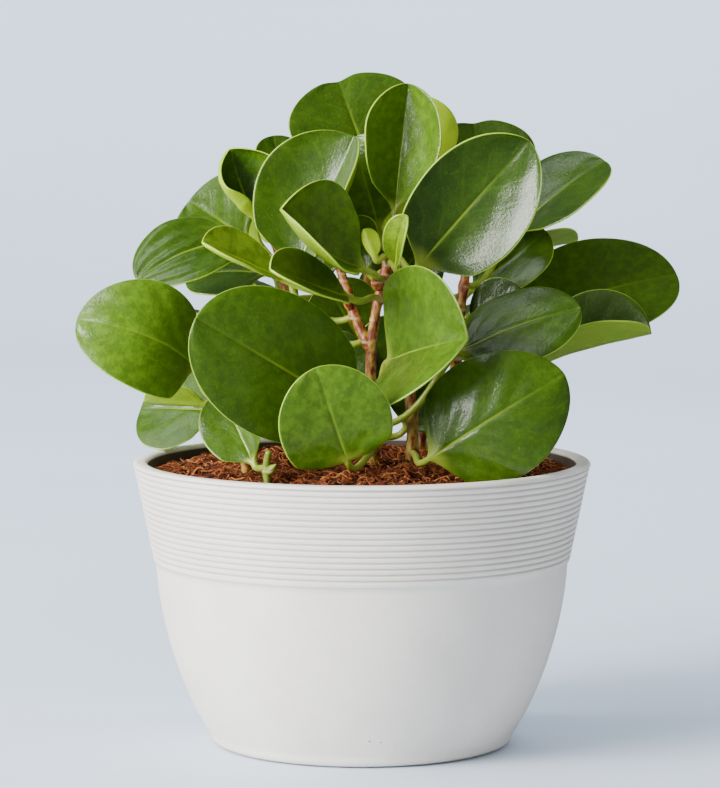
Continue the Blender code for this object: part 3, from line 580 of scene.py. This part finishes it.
def grow_stem(name):
    """One stem, with its shoot and buds, drawn as round strands and turned into a mesh."""
    curve = bpy.data.curves.new("skin_stem_" + name, "CURVE")
    curve.dimensions = "3D"
    curve.bevel_depth = MM
    curve.bevel_resolution = 7
    curve.use_fill_caps = True
    own = [name] + (["side_shoot"] if name == "centre" else [])
    for stem in own:
        path = smooth_path(STEMS.get(stem, SIDE_SHOOT)[2])
        add_strand_to(curve, path, [stem_radius(stem, place.z) for place in path])
        for height, towards, length, width in BUDS.get(stem, []):
            start, _ = at_height(path, height)
            way = Vector(towards).normalized()
            shares = [step / 12 for step in range(13)]
            bud = [start + way * (length * share) + Vector((0, 0, 1.2 * share * share)) for share in shares]
            add_strand_to(curve, bud, [width / 2 * (0.25 + 0.75 * math.sin(math.pi * share**0.8) ** 0.8) *
                                       (1 - share**6 * 0.9) for share in shares])
    piece = bpy.data.objects.new("skin_stem_" + name, curve)
    bpy.context.scene.collection.objects.link(piece)
    bpy.ops.object.select_all(action="DESELECT")
    piece.select_set(True)
    bpy.context.view_layer.objects.active = piece
    bpy.ops.object.convert(target="MESH")
    piece = bpy.context.object
    bpy.ops.object.mode_set(mode="EDIT")
    bpy.ops.mesh.select_all(action="SELECT")
    bpy.ops.mesh.remove_doubles(threshold=0.000001)
    bpy.ops.mesh.normals_make_consistent(inside=False)
    bpy.ops.object.mode_set(mode="OBJECT")
    bpy.ops.object.shade_smooth()
    spots = positions(piece) / MM
    scar = np.zeros(len(spots))
    for node in sum((leaf_heights(stem) for stem in own), []):
        scar = np.maximum(scar, np.exp(-((spots[:, 2] - node + 1.0) / 0.7) ** 2))
    point_attribute(piece, "scar", scar)
    point_attribute(piece, "up", (spots[:, 2] - 118) / 110)
    point_attribute(piece, "green", np.full(len(spots), 0.85 if name == "sprout" else 0.0))
    return piece


def stem_skin():
    """Waxy skin of a fleshy stem: olive with a red-brown mottle, redder near the growing tips."""
    material, tree, shader = new_material("mottled_fleshy_stem_skin")
    place = add_node(tree, "TexCoord").outputs["Object"]
    up, green, scar = [add_node(tree, "Attribute", attribute_name=name).outputs["Fac"]
                       for name in ("up", "green", "scar")]
    # Blotches 2.4 mm wide, drawn out to 5 mm along the stem
    stretched = add_node(tree, "Mapping", {"Vector": place, "Scale": (1.0, 1.0, 0.45)})
    mottle = add_node(tree, "TexNoise", {"Vector": stretched.outputs[0], "Scale": 420.0, "Detail": 4.0,
                                         "Roughness": 0.65}).outputs["Fac"]
    old = add_node(tree, "ValToRGB", {"Fac": mottle},
                   stops=[(0.36, "#471008"), (0.46, "#7a3416"), (0.54, "#94782a"), (0.75, "#a89a44")])
    fresh = add_node(tree, "ValToRGB", {"Fac": mottle},
                     stops=[(0.3, "#5d180c"), (0.5, "#8d3419"), (0.75, "#b0683a")])
    colour = layer(tree, old.outputs["Color"], fresh.outputs["Color"], up, 0.55, 0.95, 0.0, 1.0)
    colour = add_node(tree, "Mix", {0: green, 6: colour, 7: "#6c8524"}, data_type="RGBA").outputs[2]
    colour = layer(tree, colour, "#c9bd86", scar, 0.3, 1.0, 0.0, 0.55)
    tree.links.new(colour, shader.inputs["Base Color"])
    shader.inputs["Roughness"].default_value = 0.45
    shader.inputs["Subsurface Weight"].default_value = 0.1
    shader.inputs["Subsurface Radius"].default_value = (1.0, 0.35, 0.15)
    shader.inputs["Subsurface Scale"].default_value = 2 * MM
    bump = add_node(tree, "Bump", {"Height": mottle, "Strength": 0.4, "Distance": 0.5 * MM})
    tree.links.new(bump.outputs["Normal"], shader.inputs["Normal"])
    return material


skin = stem_skin()
for stem_name in STEMS:
    stem = grow_stem(stem_name)
    stem.data.materials.append(skin)
    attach(stem, "root")
    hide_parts("stem_" + stem_name)


# Leaves: thick, waxy and spoon-shaped, each grown from its stem on a round stalk that opens into its
# midrib. The upper face is dark and glossy, the midrib sunken, the back and the thin margin lime.
PETIOLE_RADIUS = 1.5
STALK_BEND = 9.0            # length over which a stalk turns into its blade
BLADE_THICKNESS = 1.5
MARGIN_THICKNESS = 0.8
BLADE_OPENS = 0.22          # share of the blade over which the round stalk flattens out
FULL_SHOULDER = 0.6         # a blade with a lower shoulder than this has lobes
LOBE = 30.0
AROUND = 76
STALK_STEPS = 14
BLADE_STEPS = 56
FOLD_SOFTNESS = 0.07        # how softly a blade turns over its midrib, as a share of its half width
VEIN_RATE = 30.0            # how fast the side veins follow each other along a blade
VEIN_SLANT = 0.42           # how far they slant towards the tip
YOUNG_LEAVES = {"young_right", "young_left", "left_cup", "crown_behind", "left_rimmed"}
# How light a grown leaf is, from 0, deep green, to 1, fresh green; crown_inner's lightness is a painted
# reflection, and crown_centre's is partly a painted highlight
LIGHTNESS = {
    "front_round": 0.75, "left_bright": 0.85, "centre_folded": 0.5, "front_right": 0.28, "centre_left": 0.7,
    "front_left": 0.32, "left_turned": 0.9, "sprout_folded": 0.35, "left_ridged": 0.14, "crown_right": 0.1,
    "right_drooping": 0.2, "top": 0.2, "crown_left": 0.2, "crown_centre": 0.7, "right_large": 0.38,
    "right_folded": 0.2, "upper_right": 0.08, "upper_back": 0.05, "left_cup": 0.0, "young_right": 0.5,
    "young_left": 0.6, "crown_behind": 0.9, "left_rimmed": 0.5, "crown_inner": 0.75, "inner_crown": 0.7,
    "inner_centre": 0.35, "inner_left": 0.6}
# Long soft ridges along a blade, in millimetres high
RIDGES = {"left_ridged": 0.4, "front_left": 0.1}
# How far the flesh swells between the side veins, in millimetres
QUILTING = {"front_right": 0.3, "left_ridged": 0.1, "centre_folded": 0.12, "left_bright": 0.12, "top": 0.03}
CURL_FADES = {"left_cup": 0.6}      # how much of its curl a rolled blade has lost at its tip
NOTCHED_TIPS = {"top": 2.0, "upper_back": 1.6}


def blade_shape(v, shoulder):
    """Half width along a blade, against its widest: a low shoulder is full next to the stalk."""
    peak = shoulder / (shoulder + 0.5)
    v = np.clip(v, 0.0, 1.0)
    return (v / peak) ** shoulder * ((1 - v) / (1 - peak)) ** 0.5


def stalk_start(stem, height, towards):
    """Where a stalk leaves its stem's surface, and its way out."""
    path = smooth_path(STEMS.get(stem, SIDE_SHOOT)[2])
    centre, direction = at_height(path, height)
    out = towards - centre
    out = (out - direction * out.dot(direction)).normalized()
    return centre + out * stem_radius(stem, height), out


def leaf_frames(stem, height, foot, tip, faces, arch):
    """Centre, side, normal, way ahead and share v for each ring of a leaf, from its stem to its tip."""
    length = (tip - foot).length
    along = (tip - foot) / length
    normal = (faces - along * along.dot(faces)).normalized()
    side = along.cross(normal)
    start, out = stalk_start(stem, height, foot)
    leaving = (along * length + normal * (4 * arch)).normalized()
    reach = (foot - start).length * 0.4
    handles = (start, start + out * reach, foot - leaving * min(reach, STALK_BEND), foot)
    first_side = (side - out * out.dot(side)).normalized()
    rows = [(start - out * 1.5, first_side, first_side.cross(out), out, 0.0)]
    for step in range(STALK_STEPS - 1):
        share = step / (STALK_STEPS - 1)
        centre = curve_point(*handles, share)
        ahead = (curve_point(*handles, share + 0.02) - centre).normalized()
        turned = first_side.lerp(side, share)
        turned = (turned - ahead * ahead.dot(turned)).normalized()
        rows.append((centre, turned, turned.cross(ahead), ahead, 0.0))
    for step in range(BLADE_STEPS + 1):
        v = 0.5 * (1 - math.cos(math.pi * step / BLADE_STEPS))
        centre = foot + along * (length * v) + normal * (arch * 4 * v * (1 - v))
        ahead = (along * length + normal * (arch * 4 * (1 - 2 * v))).normalized()
        rows.append((centre, side, side.cross(ahead), ahead, v))
    return [np.array([row[i] for row in rows]) for i in range(4)], np.array([row[4] for row in rows])


def grow_leaf(name, stem, height, foot, tip, faces, width, fold, cup, arch, shoulder):
    """Rolls a flat grid into a stalk that opens into a folded, cupped blade."""
    bpy.ops.object.select_all(action="DESELECT")
    bpy.ops.mesh.primitive_grid_add(x_subdivisions=AROUND, y_subdivisions=STALK_STEPS + BLADE_STEPS, size=2,
                                    location=(0, 0, 0))
    leaf = bpy.context.object
    leaf.name = "blade_" + name
    flat = positions(leaf)
    turn = (flat[:, 0] + 1) * math.pi
    turn = turn + 0.3 * np.sin(2 * turn)     # closer rows at the midrib
    row = np.rint((flat[:, 1] + 1) / 2 * (STALK_STEPS + BLADE_STEPS)).astype(int)
    frames, shares = leaf_frames(stem, height, Vector(foot), Vector(tip), Vector(faces), arch)
    centres, sides, normals, aheads = frames
    v = shares[row]
    u = -np.cos(turn)
    upper = np.sin(turn) > 0
    half = width / 2 * blade_shape(v, shoulder)
    half = np.where(v < 0.3, np.maximum(half, PETIOLE_RADIUS), half)
    edge = half * (1 - np.abs(u))
    rim = np.clip(edge / (MARGIN_THICKNESS / 2), 0, 1)
    body_share = np.clip(edge / 6, 0, 1)
    thickness = (MARGIN_THICKNESS + (BLADE_THICKNESS - MARGIN_THICKNESS) * body_share * (2 - body_share)) / 2
    thickness = thickness * np.sqrt(1 - (1 - rim) ** 2) * np.where(upper, 1, -1)

    chance = random.Random(name)
    phase = [chance.uniform(0, math.tau) for _ in range(6)]
    rib = half * np.abs(u)
    relief = 0.35 * np.sin(5.2 * v + 2.1 * u + phase[0]) * np.sin(4.1 * u + phase[1])
    relief += 0.5 * np.sin(9.0 * v + phase[2]) * np.sign(u) * np.abs(u) ** 3 * np.sin(math.pi * v)
    relief += 0.14 * np.sin(17 * v + 3 * u + phase[3]) * np.sin(11 * u + phase[4])
    spread = VEIN_RATE * (v - VEIN_SLANT * np.abs(u) ** 0.8) + 2.4
    inner = np.clip(edge / 5, 0, 1) * np.clip(rib / 4, 0, 1) * np.sin(math.pi * v) ** 0.5
    relief -= QUILTING.get(name, 0.06) * np.sin(spread) * inner
    ridges = np.cos(19 * np.abs(u) ** 0.9 + 2.5 * v + phase[5])
    relief += RIDGES.get(name, 0.0) * ridges * np.sin(math.pi * v) ** 0.7
    groove = np.exp(-(rib / 0.85) ** 2) * (1 - v) ** 0.4
    keel = np.exp(-(rib / 1.3) ** 2) * (1 - v) ** 0.7
    relief *= min(1.0, width / 40) * np.clip((1 - v) / 0.03, 0, 1)

    turned_over = np.sqrt(u * u + FOLD_SOFTNESS**2)
    bent = turned_over - FOLD_SOFTNESS
    curl = cup * (1 - CURL_FADES.get(name, 0.0) * v)
    lean = np.radians(fold + curl * np.abs(u) / 2)
    slope = np.radians(fold + curl * np.abs(u)) * u / turned_over
    skin_depth = thickness + relief - np.where(upper, 0.5 * groove, 0.9 * keel)
    across = half * u * np.cos(lean) - np.sin(slope) * skin_depth
    out = half * bent * np.sin(lean) + np.cos(slope) * skin_depth
    opened = np.clip(v / BLADE_OPENS, 0, 1)
    opened = opened * opened * (3 - 2 * opened)
    across = (1 - opened) * PETIOLE_RADIUS * u + opened * across
    out = (1 - opened) * PETIOLE_RADIUS * np.sin(turn) + opened * out
    lobe = LOBE * max(0.0, FULL_SHOULDER - shoulder) * u * u * (1 - v) ** 3 * np.minimum(1.0, v / 0.12)
    lobe += NOTCHED_TIPS.get(name, 0.0) * np.exp(-(across / 6) ** 2) * np.clip((v - 0.85) / 0.15, 0, 1) ** 2
    place = (centres[row] + sides[row] * across[:, None] + normals[row] * out[:, None]
             - aheads[row] * lobe[:, None])
    leaf.data.vertices.foreach_set("co", (place * MM).astype(np.float32).ravel())

    lightness = np.full(len(v), LIGHTNESS.get(name, chance.uniform(0.0, 0.35)))
    drawn = {"edge": np.where(v > 0.0, edge, 5.0), "rib": rib, "upper": upper.astype(float), "opened": opened,
             "across": u, "along": v, "light": lightness}
    for attribute, values in drawn.items():
        point_attribute(leaf, attribute, values)
    bpy.ops.object.mode_set(mode="EDIT")
    bpy.ops.mesh.select_all(action="SELECT")
    bpy.ops.mesh.remove_doubles(threshold=0.000001)
    bpy.ops.mesh.select_non_manifold(extend=False, use_wire=False, use_boundary=True, use_multi_face=False,
                                     use_non_contiguous=False, use_verts=False)
    bpy.ops.mesh.edge_face_add()
    bpy.ops.mesh.select_all(action="SELECT")
    bpy.ops.mesh.normals_make_consistent(inside=False)
    bpy.ops.object.mode_set(mode="OBJECT")
    bpy.ops.object.shade_smooth()
    return leaf


def waxy_leaf(name, deep, fresh, back, stalk):
    """Cutin-waxed leaf: a clear wax over soft green flesh, so it shows broad, slightly broken gloss."""
    material, tree, shader = new_material(name)
    place = add_node(tree, "TexCoord").outputs["Object"]
    upper, edge, rib, opened, light, across, along = [
        add_node(tree, "Attribute", attribute_name=value).outputs["Fac"]
        for value in ("upper", "edge", "rib", "opened", "light", "across", "along")]

    # The green: clouds 18 mm wide, a mottle of 4 mm and flecks of 1 mm
    cloud = add_node(tree, "TexNoise", {"Vector": place, "Scale": 55.0, "Detail": 3.0, "Roughness": 0.55})
    tone = add_node(tree, "Math", {0: cloud.outputs["Fac"], 1: 0.7, 2: -0.28}, operation="MULTIPLY_ADD")
    # Each leaf's listed lightness is added here: on crown_inner it is a painted reflection, on crown_centre
    # partly a painted highlight
    tone = add_node(tree, "Math", {0: tone.outputs[0], 1: light}, operation="ADD", use_clamp=True)
    colour = add_node(tree, "Mix", {0: tone.outputs[0], 6: deep, 7: fresh}, data_type="RGBA").outputs[2]
    mottle = add_node(tree, "TexNoise", {"Vector": place, "Scale": 260.0, "Detail": 6.0, "Roughness": 0.7})
    colour = layer(tree, colour, deep, mottle.outputs["Fac"], 0.4, 0.62, 0.45, 0.0)
    fleck = add_node(tree, "TexNoise", {"Vector": place, "Scale": 950.0, "Detail": 2.0, "Roughness": 0.6})
    colour = layer(tree, colour, fresh, fleck.outputs["Fac"], 0.58, 0.74, 0.0, 0.35)

    # The side veins follow the swellings of the blade, straying a little with the clouds
    size = add_node(tree, "Math", {0: across}, operation="ABSOLUTE")
    spread = add_node(tree, "Math", {0: size.outputs[0], 1: 0.8}, operation="POWER")
    strays = add_node(tree, "Math", {0: cloud.outputs["Fac"], 1: 0.16, 2: along},
                      operation="MULTIPLY_ADD")
    fan = add_node(tree, "Math", {0: spread.outputs[0], 1: -VEIN_SLANT, 2: strays.outputs[0]},
                   operation="MULTIPLY_ADD")
    wave = add_node(tree, "Math", {0: fan.outputs[0], 1: VEIN_RATE}, operation="MULTIPLY")
    ripple = add_node(tree, "Math", {0: wave.outputs[0]}, operation="SINE")
    vein = add_node(tree, "MapRange", {0: ripple.outputs[0], 1: 0.86},
                    interpolation_type="SMOOTHSTEP").outputs[0]
    colour = layer(tree, colour, fresh, vein, 0.0, 1.0, 0.0, 0.08)

    # The midrib fades towards the tip; then the back, the margin and the stalk take their own green
    midrib = add_node(tree, "MapRange", {0: rib, 1: 0.2, 2: 0.8, 3: 1.0, 4: 0.0},
                      interpolation_type="SMOOTHSTEP")
    fading = add_node(tree, "MapRange", {0: along, 1: 0.15, 2: 0.9, 3: 0.75, 4: 0.08},
                      interpolation_type="SMOOTHSTEP")
    midrib = add_node(tree, "Math", {0: midrib.outputs[0], 1: fading.outputs[0]}, operation="MULTIPLY")
    colour = add_node(tree, "Mix", {0: midrib.outputs[0], 6: colour, 7: back},
                      data_type="RGBA").outputs[2]
    colour = layer(tree, colour, back, upper, 0.0, 1.0, 0.85, 0.0)
    colour = layer(tree, colour, "#9dbb3c", edge, 0.05, 0.45, 0.85, 0.0)
    colour = layer(tree, colour, stalk, opened, 0.0, 0.75, 1.0, 0.0)
    tree.links.new(colour, shader.inputs["Base Color"])

    # Pores 1.2 mm apart break up the gloss, and the wax is thinner on the back
    pores = add_node(tree, "TexNoise", {"Vector": place, "Scale": 800.0, "Detail": 3.0, "Roughness": 0.6})
    rough = add_node(tree, "MapRange", {0: pores.outputs["Fac"], 1: 0.3, 2: 0.7, 3: 0.34, 4: 0.48},
                     interpolation_type="SMOOTHSTEP")
    wax = add_node(tree, "MapRange", {0: upper, 3: 0.15, 4: 0.55}, interpolation_type="SMOOTHSTEP")
    tree.links.new(rough.outputs[0], shader.inputs["Roughness"])
    tree.links.new(wax.outputs[0], shader.inputs["Coat Weight"])
    shader.inputs["Coat Roughness"].default_value = 0.15
    shader.inputs["IOR"].default_value = 1.45
    shader.inputs["Specular IOR Level"].default_value = 0.3
    shader.inputs["Subsurface Weight"].default_value = 0.15
    shader.inputs["Subsurface Radius"].default_value = (0.4, 1.0, 0.12)
    shader.inputs["Subsurface Scale"].default_value = 1.5 * MM
    fine = add_node(tree, "Bump", {"Height": pores.outputs["Fac"], "Strength": 0.55, "Distance": 0.3 * MM})
    veins = add_node(tree, "Bump", {"Height": vein, "Normal": fine.outputs["Normal"], "Strength": 0.12,
                                    "Distance": 0.2 * MM})
    tree.links.new(veins.outputs["Normal"], shader.inputs["Normal"])
    tree.links.new(veins.outputs["Normal"], shader.inputs["Coat Normal"])
    return material


def finish_leaf(row, wax):
    leaf = grow_leaf(*row)
    leaf.data.materials.append(wax)
    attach(leaf, "root")
    return leaf


grown = waxy_leaf("waxy_grown_leaf", "#213a03", "#567a0b", "#7f9a1c", "#8a9c30")
young = waxy_leaf("waxy_young_leaf", "#274c05", "#8fac14", "#aecb1e", "#9dae36")
for row in LEAVES:
    is_young = row[0] in YOUNG_LEAVES
    leaf = finish_leaf(row, young if is_young else grown)
    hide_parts("leaf_" + row[0])
for row in INNER_LEAVES:
    finish_leaf(row, grown)


# Room: one sheet of pale painted board, as in a studio. It lies flat as the floor, and is bent up
# behind the plant as the wall. It shows in no gloss, so the leaves reflect the windows and not the board.
def sweep_material():
    """Painted board: flat, pale and slightly blue, with clouds nearly a metre wide."""
    material, tree, shader = new_material("pale_painted_board")
    place = add_node(tree, "TexCoord").outputs["Object"]
    cloud = add_node(tree, "TexNoise", {"Vector": place, "Scale": 1.2, "Detail": 2.0})
    colour = add_node(tree, "ValToRGB", {"Fac": cloud.outputs["Fac"]},
                      stops=[(0.3, "#cfddef"), (0.7, "#dae6f5")])
    tree.links.new(colour.outputs["Color"], shader.inputs["Base Color"])
    shader.inputs["Roughness"].default_value = 0.6
    return material


bpy.ops.object.select_all(action="DESELECT")
bpy.ops.mesh.primitive_plane_add(size=8, location=(0, 0, -0.0005))
floor = bpy.context.object
floor.name = "studio_floor"


def edit_edge(sheet, way):
    """Opens the sheet for editing with only its back edge (way 1) or front edge (way -1) selected."""
    bpy.ops.object.mode_set(mode="EDIT")
    bpy.ops.mesh.select_mode(type="EDGE")
    bpy.ops.mesh.select_all(action="DESELECT")
    bpy.ops.object.mode_set(mode="OBJECT")
    last = max(vertex.co.y * way for vertex in sheet.data.vertices)
    for edge in sheet.data.edges:
        edge.select = all(sheet.data.vertices[i].co.y * way > last - 0.001 for i in edge.vertices)
    bpy.ops.object.mode_set(mode="EDIT")


edit_edge(floor, -1)
bpy.ops.mesh.extrude_region_move(TRANSFORM_OT_translate={"value": (0, -6, 0)})
bpy.ops.object.mode_set(mode="OBJECT")
edit_edge(floor, 1)
bpy.ops.transform.translate(value=(0, -2.6, 0))
for rise in ((0, 0.5, 0), (0, 0.5, 0.12), (0, 0.35, 0.45), (0, 0.1, 3.2)):
    bpy.ops.mesh.extrude_region_move(TRANSFORM_OT_translate={"value": rise})
bpy.ops.mesh.select_all(action="SELECT")
bpy.ops.transform.resize(value=(2.4, 1, 1))
bpy.ops.object.mode_set(mode="OBJECT")
bpy.ops.object.transform_apply(location=True, rotation=True, scale=True)
smooth = floor.modifiers.new("smooth", "SUBSURF")
smooth.levels = 3
smooth.render_levels = 3
bpy.ops.object.modifier_apply(modifier="smooth")
bpy.ops.object.shade_smooth()
floor.data.materials.append(sweep_material())
floor.visible_glossy = False


# Light: two tall soft windows on the left, which give the leaves their long pale reflections, and
# a skylight over them. A weak lamp on the right lifts the shade, and one behind the plant lights the wall.
def soft_window(name, place, target, width, height, power, colour):
    bpy.ops.object.select_all(action="DESELECT")
    bpy.ops.object.light_add(type="AREA", location=place)
    lamp = bpy.context.object
    lamp.name = name
    lamp.rotation_euler = (Vector(target) - Vector(place)).to_track_quat("-Z", "Y").to_euler()
    lamp.data.shape = "RECTANGLE"
    lamp.data.size = width
    lamp.data.size_y = height
    lamp.data.energy = power
    lamp.data.color = linear(colour)[:3]
    return lamp


middle = (0, 0, 0.16)
soft_window("window_left", (-1.62, -0.9, 0.85), middle, 0.66, 1.4, 94, "#fffdf9")
soft_window("window_front", (-1.25, -1.36, 0.85), middle, 0.44, 1.3, 36, "#fffdf9")
soft_window("skylight_left", (-0.95, -0.1, 1.9), middle, 0.9, 1.1, 12, "#f6f9fc")
fills = [soft_window("window_right", (1.6, -1.0, 0.7), middle, 0.6, 1.0, 4, "#ffe6cc"),
         soft_window("wall_wash", (0, 0.7, 2.0), (0, 2.75, 0.3), 3.0, 0.6, 98, "#eef4fb")]
for lamp in fills:
    lamp.visible_glossy = False     # neither shows as a reflection in a leaf

# The room's own pale light is even all round, and is dimmer in the leaves' gloss than on the floor
world = bpy.data.worlds.new("pale_room")
bpy.context.scene.world = world
world.use_nodes = True
sky = world.node_tree
rays = add_node(sky, "LightPath")
glow = add_node(sky, "MapRange", {"Value": rays.outputs["Is Glossy Ray"], "To Min": 0.48, "To Max": 0.12})
sky.nodes["Background"].inputs["Color"].default_value = linear("#e7eaee")
sky.links.new(glow.outputs["Result"], sky.nodes["Background"].inputs["Strength"])
